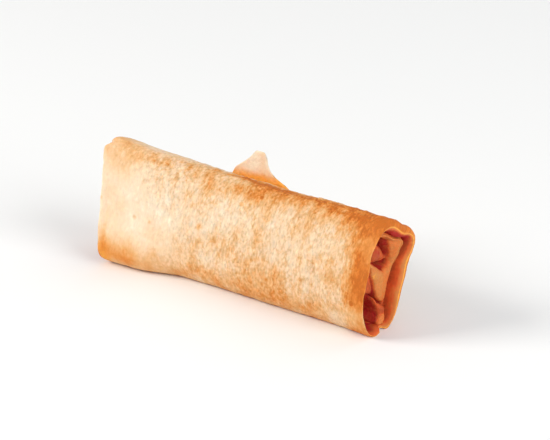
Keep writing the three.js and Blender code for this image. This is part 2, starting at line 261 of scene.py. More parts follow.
# %% Folds
# For each fold, how soaked it is, where the higher values of the folds that lie in shadow are painted
# shade, and then its corners: w, k, depth behind the end in mm, and how softly the side after the corner
# falls, in mm.
RIGHT_FOLDS = (
    (
        0,
        (-0.705, 0.62, 1.6, 0.9), (-0.142, 0.574, 2.8, 0.8), (0.247, 0.52, 3.4, 0.8), (0.511, 0.479, 3.6, 1),
        (0.666, 0.508, 3.4, 3), (0.588, 0.39, 3.6, 3), (0.613, 0.307, 3.8, 1), (0.662, 0.23, 4.2, 0.6),
        (0.403, 0.247, 4, 0.5), (0.149, 0.302, 3.6, 0.5), (-0.012, 0.381, 3.4, 0.5),
        (-0.223, 0.485, 2.8, 0.5),
    ),
    (
        0.5,
        (-0.78, 0.58, 3.4, 0.8), (-0.4, 0.54, 4.4, 0.8), (-0.1, 0.42, 4.8, 0.8),
        (-0.02, 0.34, 5, 0.8), (-0.32, 0.38, 4.8, 0.7), (-0.66, 0.46, 4.2, 0.7),
    ),
    (
        0.4,
        (0, 0.3, 4, 0.4), (0.06, 0.258, 3.4, 0.4), (0.232, 0.229, 3, 0.4), (0.467, 0.185, 2.2, 0.5),
        (0.45, 0.14, 2.2, 0.5), (0.2, 0.14, 2.5, 0.5), (0.19, 0.2, 3, 0.5),
    ),
    (
        0.14,
        (0.2, 0.13, 2.1, 0.5), (0.43, 0.13, 1.7, 0.8), (0.561, 0.07, 1.2, 0.8),
        (0.6, -0.08, 0.6, 1), (0, -0.08, 0.2, 0.5), (0.03, 0.09, 1.4, 0.5),
    ),
    (
        0.49,
        (-0.53, 0.74, 2.4, 1.4), (-0.055, 0.714, 3.8, 1), (0.34, 0.655, 4.8, 0.8),
        (0.2, 0.64, 5, 1.2), (-0.582, 0.658, 2.2, 1.2), (-0.725, 0.69, 1.6, 1),
    ),
    (
        0.04,
        (-0.067, 0.828, 2.8, 0.6), (0.401, 0.857, 1.4, 1), (0.49, 0.765, 2, 1), (0.602, 0.65, 2.4, 1),
        (0.633, 0.544, 3, 1), (0.56, 0.472, 3.4, 1), (0.25, 0.51, 3.4, 0.7), (0.25, 0.55, 3.6, 0.7),
        (0.46, 0.575, 3.8, 0.7), (0.52, 0.63, 3.8, 0.7), (0.348, 0.715, 3.4, 0.7), (0.128, 0.782, 3.2, 0.7),
    ),
)
LEFT_FOLDS = (
    (
        0,
        (-1, 0.62, 6, 1.2), (-0.5, 0.625, 3.8, 1), (0.05, 0.575, 3.6, 0.9), (0.45, 0.56, 4.2, 0.9),
        (1, 0.6, 6.5, 1), (1, 0.45, 6.5, 1), (0.5, 0.46, 4.8, 0.8), (0.15, 0.375, 4.2, 0.6),
        (-0.25, 0.415, 3.6, 0.7), (-0.6, 0.49, 4.4, 0.8), (-1, 0.49, 6, 1),
    ),
    (
        0.1,
        (-1, 0.2, 6.5, 0.8), (-0.5, 0.25, 5, 0.6), (-0.2, 0.235, 4.4, 0.6), (0.1, 0.285, 4.6, 0.7),
        (0.35, 0.22, 5.2, 0.8), (0.7, 0.16, 6, 1.2), (0.5, -0.1, 3.6, 2), (-0.6, -0.1, 3.2, 2),
        (-1, 0.05, 5.5, 1),
    ),
)

# %% How deep the tucked pastry lies
# How much deeper it lies at one softness beyond the side of a fold, in mm.
FOLD_DROP = 2.2
# The side of a fold is rounded by this depth, over this width.
FOLD_EDGE_DEPTH = 0.5
FOLD_EDGE_WIDTH = 1.5
# Corners closer together than this share their depth, and folds closer in depth than this melt together.
CORNER_BLEND = math.sqrt(3)
FOLD_BLEND = 0.5


def fold_depth(corners, w, k):
    """How deep a fold lies, and how far it has fallen beyond its sides."""
    flat = np.stack([w * WIDTH[1] / 2, k * HEIGHT[1]], axis=-1)
    spots = np.array([(cw * WIDTH[1] / 2, ck * HEIGHT[1]) for cw, ck, _, _ in corners])
    weights = 1 / (((flat[..., None, :] - spots) ** 2).sum(-1) + CORNER_BLEND**2) ** 1.5
    level = (weights * np.array([depth for _, _, depth, _ in corners])).sum(-1) / weights.sum(-1)
    nearest = np.full(flat.shape[:-1], np.inf)
    fall = np.full(flat.shape[:-1], np.inf)
    inside = np.zeros(flat.shape[:-1], dtype=bool)
    for start, end, (_, _, _, softness) in zip(spots, np.roll(spots, -1, axis=0), corners):
        side = end - start
        t = np.clip(((flat - start) @ side) / (side @ side), 0, 1)
        away = np.linalg.norm(flat - start - t[..., None] * side, axis=-1)
        fall = np.minimum(fall, FOLD_DROP * (away / softness) ** 1.5)
        nearest = np.minimum(nearest, away)
        # A point is inside when a line from it to one side crosses an odd number of the fold's sides.
        crosses = (start[1] > flat[..., 1]) != (end[1] > flat[..., 1])
        climb = side[1] if side[1] != 0 else 1
        inside ^= crosses & (flat[..., 0] < start[0] + (flat[..., 1] - start[1]) / climb * side[0])
    rounded = FOLD_EDGE_DEPTH * np.clip(1 - nearest / FOLD_EDGE_WIDTH, 0, 1) ** 2
    return level + np.where(inside, rounded, FOLD_EDGE_DEPTH + fall), np.where(inside, 0, fall)


def tuck_depth(mouth, folds, w, k):
    """Depth of the tucked pastry, its fall from the foremost fold, and that fold's fat and painted shade."""
    layers, falls = zip(*[fold_depth(corners, w, k) for _, *corners in folds])
    nearness = sum(np.exp(-layer / FOLD_BLEND) for layer in (mouth["pocket_depth"], *layers))
    foremost = np.argmin(layers, axis=0)
    soaks_and_shade = np.array([soaked_and_shaded for soaked_and_shaded, *_ in folds])
    return -FOLD_BLEND * np.log(nearness), np.choose(foremost, falls), soaks_and_shade[foremost]


# %% [markdown]
# ## Rings of a mouth
# A rim and a tucked sheet are rows of rings. A lathe can't turn them, because no ring is round. So each
# ring is the roll's own section, moved inwards and back by a smooth profile, and the last ones close flat
# on a crease, as a pinched end of pastry does.

# %% Rings that close on a crease
STATIONS = 300
ring_shares = np.arange(STATIONS) / STATIONS
station_w, station_k = station(ring_shares)
ones = np.ones(STATIONS)
# Depth of the hollow, and how far inside the top and the base a crease ends, in mm.
HOLLOW = 16.5
CREASE_INSET = RIM_WALL + 3 * PASTRY


def smooth_rows(rows, counts):
    """Rows of control values, joined by Catmull-Rom spans with the given number of steps each."""
    padded = [rows[0], *rows, rows[-1]]
    made = []
    for i, count in enumerate(counts):
        before, start, end, after = padded[i : i + 4]
        for t in np.arange(count) / count:
            bend = 2 * before - 5 * start + 4 * end - after
            twist = 3 * start - before - 3 * end + after
            made.append(0.5 * (2 * start + (end - before) * t + bend * t * t + twist * t**3))
    return [*made, rows[-1]]


def rings_through(mouth, profile, uneven):
    """A ring for each inset and depth of the profile."""
    end_x = mouth["side"] * HALF
    insets = [inset_station(station_w, station_k, end_x, inset) for inset, _ in profile]
    return [mouth_point(mouth, *stations, depth + uneven) for stations, (_, depth) in zip(insets, profile)]


def towards_crease(mouth, inset):
    """The stations at an inset, and how far it is from each of them to the crease, both as w and k."""
    end_x = mouth["side"] * HALF
    edge_w, edge_k = inset_station(station_w, station_k, end_x, inset)
    _, crease_k = inset_station(station_w, station_k, end_x, CREASE_INSET)
    return edge_w, edge_k, mouth["crease"] - edge_w, crease_k - edge_k


def crease_rings(mouth, inset, depth, steps):
    """Rings that close a hollow flat on its crease, all at one depth."""
    edge_w, edge_k, way_w, way_k = towards_crease(mouth, inset)
    shares = np.linspace(0, 1, steps + 1)[1:]
    return [mouth_point(mouth, edge_w + way_w * t, edge_k + way_k * t, depth) for t in shares]


# %% Rings of a rim
# Depths down the wall of the hollow, in mm, rings for each span of the profile, and rings of its far end.
WALL_DEPTHS = (2.6, 5, 9, 13, HOLLOW)
RIM_STEPS = (*[3] * len(RIM_PROFILE), *[2] * (len(WALL_DEPTHS) - 1))
CLOSING_RINGS = 5
# From WALL_INSET on, a ring is on the inner wall, and further inside by what it lies deeper than WALL_START.
WALL_INSET = 3
WALL_START = 1
FAR_INSIDE = 20


def rim_rings(mouth):
    """From the outside of the rim over its crest and down the hollow, with how deep inside each ring lies."""
    uneven = round_mouth(mouth["edge"], ring_shares)
    controls = [*RIM_PROFILE, *[(RIM_WALL, depth) for depth in WALL_DEPTHS]]
    profile = smooth_rows([np.outer(control, ones) for control in controls], RIM_STEPS)
    rings = rings_through(mouth, profile, uneven)
    inside = [inset + np.maximum(depth - WALL_START, 0) * (inset > WALL_INSET) for inset, depth in profile]
    closing = crease_rings(mouth, RIM_WALL * ones, HOLLOW, CLOSING_RINGS)
    return np.array(rings + closing), np.array([*inside, *[FAR_INSIDE * ones] * len(closing)])


right_rim, right_inside = rim_rings(RIGHT_MOUTH)
left_rim, left_inside = rim_rings(LEFT_MOUTH)
print("rings of a rim:", len(right_rim))

# %% Rings of the tucked pastry
# The sheet starts on a crease this deep behind the end, in mm, with so many rings.
TUCK_BACK = HOLLOW + 1
BACK_RINGS = 4
# At these depths behind the lip, in mm, the sheet is pressed to the wall with this share of the slit left.
BEHIND_LIP = (5, 2)
PRESSED_SLIT = 0.35
# The lip's profile: how far across the sheet's thickness, and depth behind the lip in mm.
LIP_PROFILE = ((0, 0.7), (0.08, 0.2), (0.4, 0), (0.72, 0.2))
TUCK_STEPS = (4, 3, 3, 3, 3, 3)
FOLD_RINGS = 69
# With a higher power the folds begin closer to the lip.
LIP_POWER = 14


def deep_soak_and_shade(depth):
    """Fat and painted shade of the tucked pastry at a depth in mm, on a scale from 0 to 1; both grow deeper
    in.
    """
    return rise(depth, 3.2, 8.5)


def tucked_rings(mouth, folds):
    """From a crease deep inside, forward to the inner turn's edge, and over its folds to the front crease."""
    uneven, recess, slit = (round_mouth(mouth[size], ring_shares) for size in ("edge", "recess", "slit"))
    turn, pressed = RIM_WALL + slit, RIM_WALL + PRESSED_SLIT * slit
    back = crease_rings(mouth, pressed, TUCK_BACK, BACK_RINGS)[::-1]
    controls = [np.stack([pressed, TUCK_BACK * ones])]
    controls += [np.stack([pressed, recess + behind]) for behind in BEHIND_LIP]
    controls += [np.stack([turn + across * TUCKED_SHEET, recess + behind]) for across, behind in LIP_PROFILE]
    profile = smooth_rows(controls, TUCK_STEPS)
    rings = back + rings_through(mouth, profile, uneven)
    # The lip is darker low in the front and on the base: painted shade under the front lip.
    low_lip_shade = rise(ring_shares, 0.55, 0.6) * (1 - rise(ring_shares, 0.77, 0.79))
    # Behind its lip and deeper in the hollow the sheet darkens: fat together with painted shade.
    soaks_and_shade = [ones] * len(back)
    for _, depth in profile:
        soaks_and_shade.append(np.maximum.reduce([rise(depth - recess, 0.8, 2.2), deep_soak_and_shade(depth), low_lip_shade]))
    lip_inset, lip_depth = profile[-1]
    lip_w, lip_k, way_w, way_k = towards_crease(mouth, lip_inset)
    for step in np.linspace(0, 1, FOLD_RINGS + 1)[1:]:
        ring_w, ring_k = lip_w + way_w * step, lip_k + way_k * step
        folded, fallen, fold_soak_shade = tuck_depth(mouth, folds, ring_w, ring_k)
        depth = lip_depth + (folded - lip_depth) * (1 - (1 - step) ** LIP_POWER)
        rings.append(mouth_point(mouth, ring_w, ring_k, depth + uneven * (1 - step)))
        # Pastry that falls away beside a fold is darkened: painted shade in the pockets between the folds.
        walls = 0.8 * rise(fallen, 0.1, 1.4) * rise(step, 0.08, 0.3)
        soaks_and_shade.append(np.maximum.reduce([deep_soak_and_shade(depth), walls, fold_soak_shade * rise(step, 0, 0.1)]))
    return np.array(rings), np.array(soaks_and_shade)


right_tuck, right_tuck_soak_shade = tucked_rings(RIGHT_MOUTH, RIGHT_FOLDS)
left_tuck, left_tuck_soak_shade = tucked_rings(LEFT_MOUTH, LEFT_FOLDS)
print("rings of a tuck:", len(right_tuck))

# %% [markdown]
# ## Meshes from rings
# Rings are a grid of points, and quads between the neighbours make them a mesh. What the finish needs to
# know of a point, such as how brown it is, could be painted on an image. Here it is an attribute on the
# same points, so it follows the surface wherever that goes.

# %% Meshes from grids of points
def grid_faces(rows, columns, closed):
    """Quads of a grid. Where each row is a ring, they face outwards on rows that run towards +X."""
    across = columns if closed else columns - 1
    row, column = np.meshgrid(np.arange(rows - 1), np.arange(across), indexing="ij")
    row, column = row.ravel() * columns, column.ravel()
    after = (column + 1) % columns
    return np.stack([row + column, row + after, row + columns + after, row + columns + column], axis=1)


def make_piece(name, points_mm, faces, values):
    """A mesh object from points in mm, with an attribute for each entry of values."""
    used, renumbered = np.unique(faces, return_inverse=True)
    polygons = [list(dict.fromkeys(face)) for face in renumbered.reshape(faces.shape).tolist()]
    mesh = bpy.data.meshes.new(name)
    mesh.from_pydata((points_mm[used] * MM).tolist(), [], [face for face in polygons if len(face) > 2])
    mesh.shade_smooth()
    for label, numbers in values.items():
        wide = numbers.ndim > 1
        attribute = mesh.attributes.new(label, "FLOAT_VECTOR" if wide else "FLOAT", "POINT")
        attribute.data.foreach_set("vector" if wide else "value", numbers[used].astype(np.float32).ravel())
    made = bpy.data.objects.new(name, mesh)
    bpy.context.scene.collection.objects.link(made)
    print(name, "faces:", len(mesh.polygons))
    return made


def loft(name, rings, values):
    """A closed loft. Its first and last ring are folded flat, so their facing stations share one vertex."""
    count = len(rings)
    faces = grid_faces(count, STATIONS, closed=True)
    fold = np.arange(count * STATIONS)
    at = np.arange(STATIONS)
    facing = (STATIONS // 2 - at) % STATIONS
    for end_ring in (0, count - 1):
        fold[end_ring * STATIONS + at] = end_ring * STATIONS + np.minimum(at, facing)
    flat = {label: numbers.reshape(count * STATIONS, -1).squeeze() for label, numbers in values.items()}
    return make_piece(name, rings.reshape(-1, 3) + shift, fold[faces], flat)


# %% [markdown]
# ## The rolled pastry
# The outer layers are one loft: the left mouth's rings, even rings along the body, and the right mouth's.
# On the real roll, fingers and tongs left soft dents. A lattice could press them in, but a list of small
# moves, each fading out round its place, is easier to read and to change.

# %% Rings of the rolled pastry
BODY_RINGS = 226
body_share = np.linspace(0, 1, BODY_RINGS + 2)[1:-1, None]
body_x = left_rim[0][:, 0] + (right_rim[0][:, 0] - left_rim[0][:, 0]) * body_share
body_rings = place(body_x, station_w + 0 * body_x, station_k + 0 * body_x)
roll_rings = np.concatenate([left_rim[::-1], body_rings, right_rim])
roll_inside = np.concatenate([left_inside[::-1], 0 * body_x, right_inside])
# Small dents and lifts: x in mm, share of the girth, reach in both, and the move in mm.
NUDGES = (
    (55, 0.765, 5, 0.017, (0, 0, 1.0)),
    (-54, 0.25, 7, 0.09, (0, 0, 0.4)),
    (52, 0.25, 8, 0.05, (0, 0, -1.0)),
    (54, 0.08, 7, 0.04, (0, -0.7, 0)),
    (54, 0.93, 7, 0.05, (0, -0.7, 0)),
    (-36, 0.33, 9, 0.08, (0, 0, -0.5)),
    (-55, 0.3, 3, 0.05, (0.5, 0.3, -0.5)),
    (-50, 0.54, 1.6, 0.13, (0, 0.3, 0)),
    (-53, 0.54, 1.6, 0.13, (0, -0.2, 0)),
)
for x, share, reach_x, reach_share, move in NUDGES:
    near = fade(roll_rings[..., 0] - x, reach_x) * fade(ring_shares - share, reach_share)
    roll_rings += near[..., None] * np.array(move)
roll_x = roll_rings[..., 0]
roll_share = np.broadcast_to(ring_shares, roll_x.shape)
roll_k = np.broadcast_to(station_k, roll_x.shape)
print("rings of the rolled pastry:", len(roll_rings))

# %% [markdown]
# ## What frying did to it, and painted shade
# The sheet browned where it stood proud or lay on the hot base, blistered where it was free, and drew fat
# into its mouths. Shade in the mouths and under the loose corner is painted into the same values. One
# noise for all of it would look the same everywhere. So four values go with each point: how brown it is,
# how soaked and shaded, how strongly it is blistered, and coordinates that follow the sheet.

# %% Browner and paler places, and a painted shadow line
# x in mm, share of the girth, their reach in both, and how much browner.
BROWNED_AND_SHADED = (
    (-40, 0.47, 18, 0.1, -0.1), (-38, 0.34, 12, 0.04, 0.22), (-12, 0.32, 26, 0.045, 0.17),
    (2, 0.35, 10, 0.03, 0.1), (22, 0.32, 24, 0.05, 0.23), (42, 0.33, 14, 0.06, 0.25),
    (-45, 0.61, 14, 0.05, 0.25), (-5, 0.64, 40, 0.06, 0.32), (14, 0.54, 10, 0.05, 0.2),
    (36, 0.6, 12, 0.08, 0.02), (50, 0.6, 8, 0.05, -0.35), (-10, 0.52, 16, 0.04, 0.12),
    (-52, 0.64, 3, 0.03, 0.3), (-50.5, 0.58, 1.2, 0.07, 0.15), (-56, 0.3, 6, 0.07, 0.34),
    (28, 0.47, 14, 0.08, 0.04), (0, 0.95, 45, 0.12, 0.16), (0, 0.18, 60, 0.06, 0.32),
    # The first entry below, a narrow dark line on the top under the loose corner, is painted shadow.
    (-1, 0.29, 12, 0.022, 0.55), (-6, 0.31, 10, 0.05, -0.1), (14, 0.3, 8, 0.05, 0.12),
    (26, 0.31, 9, 0.02, 0.15), (42, 0.32, 10, 0.025, 0.3), (20, 0.5, 5, 0.05, -0.22),
    (-3, 0.365, 8, 0.035, 0.2), (-17, 0.42, 6, 0.04, -0.1), (31, 0.435, 6, 0.04, 0.08),
    (41, 0.4, 5, 0.05, -0.08), (-37, 0.6, 10, 0.07, 0.08), (-14, 0.475, 1.1, 0.01, 0.35),
)
MOST_BROWNED = 0.9


def beside(share):
    """How far each point of the roll lies from a share of the girth, the shorter way round."""
    return (roll_share - share + 0.5) % 1 - 0.5


# The crust is a little darker to the right, and most on the hot base and towards the right rim.
on_base = rise(-roll_k, -0.06, 0)
browning_and_shade = 0.34 + 0.1 * rise(roll_x, -10, 35) + 0.45 * on_base + 0.48 * rise(roll_x, 41, 50)
for x, share, reach_x, reach_share, amount in BROWNED_AND_SHADED:
    browning_and_shade = browning_and_shade + amount * fade(roll_x - x, reach_x) * fade(beside(share), reach_share)
browning_and_shade = np.clip(browning_and_shade - 0.1 * rise(roll_inside, 0.3, 0.8), 0, MOST_BROWNED)
print("browning from", browning_and_shade.min().round(2), "to", browning_and_shade.max().round(2))

# %% Blistered places, and soaked places with painted shade
# The crust is smooth at the left end and rough from the middle on, in a veined patch, on the top's ridge
# and at the back of the left end. It is smoother again near the right rim, low on the front, on the base
# and inside.
veined = fade(roll_x + 31, 9) * fade(beside(0.39), 0.07)
ridge = fade(beside(0.33), 0.05) * rise(roll_x, -54, -44) * (1 - rise(roll_x, -30, -15))
left_back = fade(beside(0), 0.17) * (1 - rise(roll_x, -40, -18))
blistering = 0.35 + 0.6 * rise(roll_x, -39, -13) + 0.6 * veined + 0.3 * ridge + 0.5 * left_back
blistering *= (1 - 0.55 * rise(roll_x, 45, 51)) * (1 - 0.3 * fade(beside(0.66), 0.07))
blistering *= (1 - 0.7 * on_base) * (1 - 0.5 * rise(roll_inside, 1.2, 3.5))
# The rim's inner edge, its wall and the hollow behind darken inwards: fat stain and painted shade of the
# hollow together. Under the top all of it begins a little further in and is stronger, and low in the
# front it begins sooner: painted shade under the top's overhang and behind the front lip.
painted_shade_under_top = fade(beside(0.24), 0.09)
inwards = roll_inside * (1 + 0.7 * fade(beside(0.7), 0.06))
inner_edge = (0.25 + 0.3 * painted_shade_under_top) * rise(inwards, 1.2 + 0.7 * painted_shade_under_top, 2.6 + 0.4 * painted_shade_under_top)
wall = (0.2 + 0.45 * painted_shade_under_top) * rise(inwards, 2.6 - 0.4 * painted_shade_under_top, 3.8 - 0.8 * painted_shade_under_top)
left_foot = 0.1 * fade(roll_x + 51, 3) * fade(beside(0.64), 0.03)
soaking_and_shade = left_foot + inner_edge + wall + 0.55 * rise(inwards, 5.5, 12)
print("blistering up to", blistering.max().round(2), "and soaking up to", soaking_and_shade.max().round(2))

# %% The rolled pastry as a piece
# Patterns on the sheet are drawn out this much round the girth, the way the dough was pulled tight.
SHEET_STRETCH = 1.5


def wrapped(x, share, radius_share=1.0):
    """Coordinates in m that follow the sheet round the roll, and in which it is drawn out round the girth."""
    radius = GIRTH / (2 * np.pi) / SHEET_STRETCH * radius_share
    angle = 2 * np.pi * share
    return np.stack([x + 0 * share, radius * np.cos(angle), radius * np.sin(angle)], -1) * MM


rolled_pastry = loft(
    "rolled_pastry",
    roll_rings,
    {"browning_and_shade": browning_and_shade, "soaked_and_shaded": soaking_and_shade, "relief": blistering, "wrapped": wrapped(roll_x, roll_share)},
)

# %% [markdown]
# ## The tucked pastry
# Inside a mouth the pastry never saw the hot oil for long: it is soft, hardly blistered, and full of fat
# where it lies deep, where its colour also darkens as painted shade. Each tuck is its own loft, so that it
# can lie in the hollow with a real gap round it.

# %% The tucked pastry as pieces
TUCK_BROWNING = 0.55
TUCK_BLISTERING = 0.5
TUCK_LEAST_SOAKED = 0.22


def tucked_pastry(name, rings, soaks_and_shade, darkest_soak_and_shade):
    values = {
        "browning_and_shade": TUCK_BROWNING + 0 * soaks_and_shade,
        "soaked_and_shaded": TUCK_LEAST_SOAKED + (darkest_soak_and_shade - TUCK_LEAST_SOAKED) * soaks_and_shade,
        "relief": TUCK_BLISTERING + 0 * soaks_and_shade,
        "wrapped": rings * MM,
    }
    return loft(name, rings, values)


tucked_right = tucked_pastry("tucked_pastry_right", right_tuck, right_tuck_soak_shade, 1)
tucked_left = tucked_pastry("tucked_pastry_left", left_tuck[::-1], left_tuck_soak_shade[::-1], 0.8)

# %% [markdown]
# ## The lap and its loose corner
# A square wrapper is rolled from one corner, so the last corner closes the roll: two cut edges run away
# from its tip like a wide V. Here the tip never stuck, and the oil set it standing straight up off the
# back. A cloth simulation would not keep such a stiff, fried corner. So the lap is a grid that follows the
# roll by the same rule as everything else, leaves it along a line, and has an outer face, an inner face and
# a rim between them.

# %% Sizes of the lap, in mm
TIP_X = -9.3
TIP_HALF_WIDTH = 1.8
TIP_BLUNTNESS = 0.15
# The edges beside the tip are hollow, to the left and to the right of it.
TIP_NECKS = (1, 3.6)
# Left of the tip, the edge falls steeply where the corner leaves the roll.
FOOT_FALL = 5
CORNER_HEIGHT = 18
CORNER_LEAN = math.radians(2)
CORNER_CURL = 1.2
# The share of the girth at which the corner leaves the roll.
LIFT_LINE = 0.085
# How far below the tip the seam ends, at both ends of the roll.
SEAM_DROP = 40
# Over this much the lap sinks into the roll, to this depth under its surface.
LAP_BLEND = 9
LAP_ROOT = 0.2
LAP_END_MARGIN = 1.6
LAP_ROUNDING = 0.4
LAP_TAPER = 2


def seam_drop(x):
    """How far the cut edge lies below the tip."""
    span = np.where(x < TIP_X, TIP_X + HALF, HALF - TIP_X)
    beside_tip = np.abs(x - TIP_X)
    away = np.hypot(np.maximum(beside_tip - TIP_HALF_WIDTH, 0), TIP_BLUNTNESS) - TIP_BLUNTNESS
    neck = np.where(x < TIP_X, *TIP_NECKS) * rise(beside_tip, 1, 4.5) * (1 - rise(beside_tip, 5, 14))
    neck += FOOT_FALL * (x < TIP_X) * rise(beside_tip, 8.6, 11.5) * (1 - rise(beside_tip, 13, 30))
    return neck + (SEAM_DROP - neck) * (1 - np.clip(1 - away / span, 0, 1) ** (span / SEAM_DROP))


def on_roll(x, share):
    """The point of the roll at x and a share of the girth."""
    return place(x, *station(share))


def lap_point(x, drop, offset):
    """A point of the outermost layer: drop is the distance below the tip, offset the height over the roll."""
    share = LIFT_LINE - (np.maximum(drop, CORNER_HEIGHT) - CORNER_HEIGHT) / GIRTH
    foot = on_roll(x, share)
    tangent = on_roll(x, share + 0.01) - on_roll(x, share - 0.01)
    tangent /= np.linalg.norm(tangent, axis=-1, keepdims=True)
    outward = np.cross(tangent, [1, 0, 0])
    free = np.maximum(CORNER_HEIGHT - drop, 0)[..., None]
    bent = free * math.sin(CORNER_LEAN) + CORNER_CURL * (free / CORNER_HEIGHT) ** 2 + offset[..., None]
    return foot + tangent * free * math.cos(CORNER_LEAN) + outward * bent


# %% Points of the lap
LAP_COLUMNS = 330
LAP_ROWS = 84
lap_x = np.linspace(LAP_END_MARGIN - HALF, HALF - LAP_END_MARGIN, LAP_COLUMNS)[:, None]
lap_edge = seam_drop(lap_x)
lap_attached = np.maximum(lap_edge, CORNER_HEIGHT)
lap_row = np.linspace(0, 1, LAP_ROWS)[None, :]
lap_drop = lap_edge + (lap_attached + LAP_BLEND - lap_edge) * lap_row
lap_x = lap_x + 0 * lap_drop
lap_sunk = rise(lap_drop - lap_attached, 0, LAP_BLEND)
lap_free = rise(lap_attached - lap_drop, 0, LAP_TAPER)
# The cut edge is rounded over the thickness of the sheet.
rounding = np.sqrt(1 - (1 - np.clip((lap_drop - lap_edge) / LAP_ROUNDING, 0, 1)) ** 2)
lap_middle = PASTRY / 2
outer_offset = (lap_middle + (PASTRY - lap_middle) * rounding) * (1 - lap_sunk) - LAP_ROOT * lap_sunk
inner_offset = lap_middle - (lap_middle + PASTRY * (1 - lap_free)) * rounding
lap_points = np.stack([lap_point(lap_x, lap_drop, offset) for offset in (outer_offset, inner_offset)])
print("lap grid:", lap_points.shape)

# %% The lap's two faces and its rim
lap_grid = grid_faces(LAP_COLUMNS, LAP_ROWS, closed=False)
lap_count = LAP_COLUMNS * LAP_ROWS


def stitch(line, flip):
    """Quads that join a border line of the outer face to the same line of the inner face."""
    quads = np.stack([line[:-1], line[1:], line[1:] + lap_count, line[:-1] + lap_count], axis=1)
    return quads[:, ::-1] if flip else quads


first_rows = np.arange(LAP_COLUMNS) * LAP_ROWS
lap_faces = np.concatenate(
    [
        lap_grid,
        lap_grid[:, ::-1] + lap_count,
        stitch(first_rows, True),
        stitch(first_rows + LAP_ROWS - 1, False),
        stitch(np.arange(LAP_ROWS), False),
        stitch(np.arange(LAP_ROWS) + (LAP_COLUMNS - 1) * LAP_ROWS, True),
    ]
)

# %% The lap as a piece
# The outer face browns like the roll. The inner face is pale at the tip, gold at the foot, which reaches
# higher on the right and is weaker on the left, and brown in a line beside the tip.
tip_side = lap_x - TIP_X
foot_gold = rise(lap_drop + 0.3 * np.clip(tip_side, 0, 8), 5.5, 11) * (1 - 0.4 * rise(-tip_side, 5, 10))
outer_brown = 0.28 + 0.1 * rise(lap_drop, 4, 16) + 0.45 * rise(lap_x, 41, 50)
inner_brown = 0.13 + 0.47 * foot_gold + 0.2 * fade(tip_side - 1.5, 1.5)
inner_soaked = 0.115 * rise(lap_drop, 6.5, 10)
# Both faces are most blistered between the foot and the seam, and the tip's inner face least.
LAP_BLISTERING = 0.9
TIP_BLISTERING = (0.6, 0.25)
crisp = rise(lap_drop, 6, 14) * (1 - lap_sunk)
lap_relief = [least + (LAP_BLISTERING - least) * crisp for least in TIP_BLISTERING]
# Patterns on the lap don't line up with those on the layer under it.
LAP_RADIUS_SHARE = 1.1
lap_share = LIFT_LINE - (lap_drop - CORNER_HEIGHT) / GIRTH
loose_lap = make_piece(
    "loose_lap",
    lap_points.reshape(-1, 3) + shift,
    lap_faces,
    {
        "browning_and_shade": np.stack([outer_brown, inner_brown]).ravel(),
        "soaked_and_shaded": np.stack([0 * inner_soaked, inner_soaked]).ravel(),
        "relief": np.stack(lap_relief).ravel(),
        "wrapped": np.tile(wrapped(lap_x, lap_share, LAP_RADIUS_SHARE).reshape(-1, 3), (2, 1)),
    },
)

# %% [markdown]
# ## Nodes from a script
# The finish and the blisters are node trees. They could be drawn by hand in Blender's editor, but a script
# can make them again and shows every number. One small function adds any kind of node with its settings and
# links, so a tree reads from top to bottom like a recipe.

# %% A helper for nodes
MATH = "ShaderNodeMath"
VECTOR_MATH = "ShaderNodeVectorMath"
RANGE = "ShaderNodeMapRange"
NOISE = "ShaderNodeTexNoise"
CELLS = "ShaderNodeTexVoronoi"
READ = "ShaderNodeAttribute"


def add_node(tree, kind, inputs=(), out=0, **settings):
    """Adds a node and gives one of its outputs. Inputs are the first sockets in order, or a dict of some."""
    node = tree.nodes.new(kind)
    for name, value in settings.items():
        setattr(node, name, value)
    for where, value in inputs.items() if isinstance(inputs, dict) else enumerate(inputs):
        if isinstance(value, bpy.types.NodeSocket):
            tree.links.new(value, node.inputs[where])
        else:
            node.inputs[where].default_value = value
    return node.outputs[out] if node.outputs else node


# %% [markdown]
# ## Fried wheat pastry
# Wheat dough fried at 170 degrees: cream where steam lifted it away from the oil, gold to brown where it
# lay on metal or stood proud. It gives the eye a dry, matt, finely mottled crust with a thin film of oil,
# lets a little light in, and turns orange to brick red where the fat has soaked it. Deeper in the mouths
# that red darkens further as painted shade. An image texture would smear at the folds, so the colour comes
# from the values at the points and from patterns as wide as the real ones.

# %% Colours
def linear(hex_colour):
    """An sRGB hex colour as linear RGBA."""
    parts = [int(hex_colour[i : i + 2], 16) / 255 for i in (0, 2, 4)]
    return (*[p / 12.92 if p <= 0.04045 else ((p + 0.055) / 1.055) ** 2.4 for p in parts], 1)


# From pale to dark crust, and from oily to fully soaked pastry, whose darker reds are also painted shade.
CRUST = (
    (0, "fdf3d8"), (0.1, "f9ead0"), (0.2, "f4ddc0"), (0.4, "f2cfa8"),
    (0.6, "e9b47b"), (0.76, "e1944a"), (0.88, "d67a2e"), (1, "b85a1a"),
)
SOAKED_AND_SHADE = (
    (0, "f8b052"), (0.12, "fab04c"), (0.2, "d08649"), (0.3, "dc7c3e"),
    (0.45, "dc6434"), (0.6, "b8562e"), (0.8, "b43c2a"), (1, "b42e2a"),
)

# %% Patterns of the crust
pastry = bpy.data.materials.new("deep_fried_wheat_pastry")
pastry.use_nodes = True
tree = pastry.node_tree
tree.nodes.clear()


def per_metre(width_mm):
    """The scale of a pattern whose cells are so many mm wide."""
    return 1 / (width_mm * MM)


spot = add_node(tree, "ShaderNodeTexCoord", out="Object")
around = add_node(tree, READ, out="Vector", attribute_name="wrapped")
rough = add_node(tree, READ, out="Fac", attribute_name="relief")
